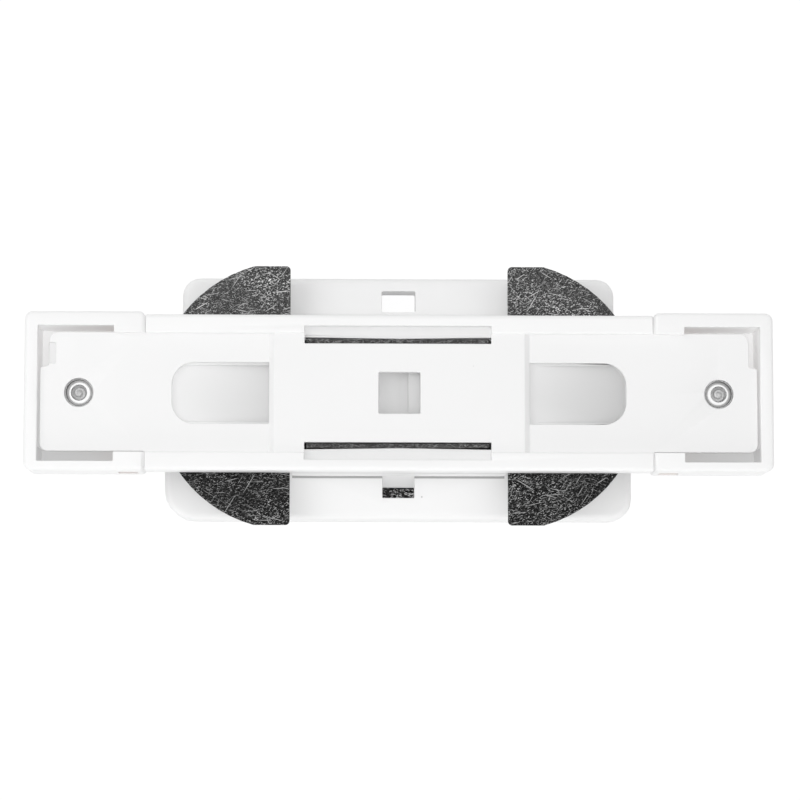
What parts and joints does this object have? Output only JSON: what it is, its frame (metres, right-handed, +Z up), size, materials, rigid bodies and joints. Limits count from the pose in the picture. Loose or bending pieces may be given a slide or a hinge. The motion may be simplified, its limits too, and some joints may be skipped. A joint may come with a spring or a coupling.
{
  "type": "lighting track connector",
  "caption": "Inline connector for recessed lighting track: white moulded bar with a plug head at each end, dark steel fixing plate with half-disc wings and a flanged base",
  "frame": {"origin": "middle of the bounding box's underside, on the room-side face that it rests on", "axes": "+X along the bar from the left plug head to the right one, +Y towards the side with the release hole, +Z up, away from the room and towards the side that enters the tracks"},
  "size_m": [0.1598, 0.0558, 0.0224],
  "materials": {
    "white_plastic": "moulded, satin, fine grain",
    "dark_steel": "dark, speckled and finely scratched",
    "zinc_steel": "zinc plated",
    "copper": "drawn copper strip"
  },
  "bodies": {
    "root": {"base_housing": "white_plastic", "face_cover": "white_plastic", "bar_housing": "white_plastic", "left_plug_head": "white_plastic", "right_plug_head": "white_plastic", "insulating_cover": "white_plastic", "fixing_plate": "dark_steel", "front_catch": "dark_steel", "left_cover_screw": "zinc_steel", "left_plate_screw": "zinc_steel", "right_cover_screw": "zinc_steel", "right_plate_screw": "zinc_steel", "left_cover_washer": "zinc_steel", "right_cover_washer": "zinc_steel", "live_busbar": "copper", "neutral_busbar": "copper", "earth_strap": "copper", "left_live_contact": "copper", "left_neutral_contact": "copper", "left_earth_contact": "copper", "right_live_contact": "copper", "right_neutral_contact": "copper", "right_earth_contact": "copper", "left_live_rivet": "copper", "left_neutral_rivet": "copper", "left_earth_rivet": "copper", "right_live_rivet": "copper", "right_neutral_rivet": "copper", "right_earth_rivet": "copper"}
  },
  "joints": []
}
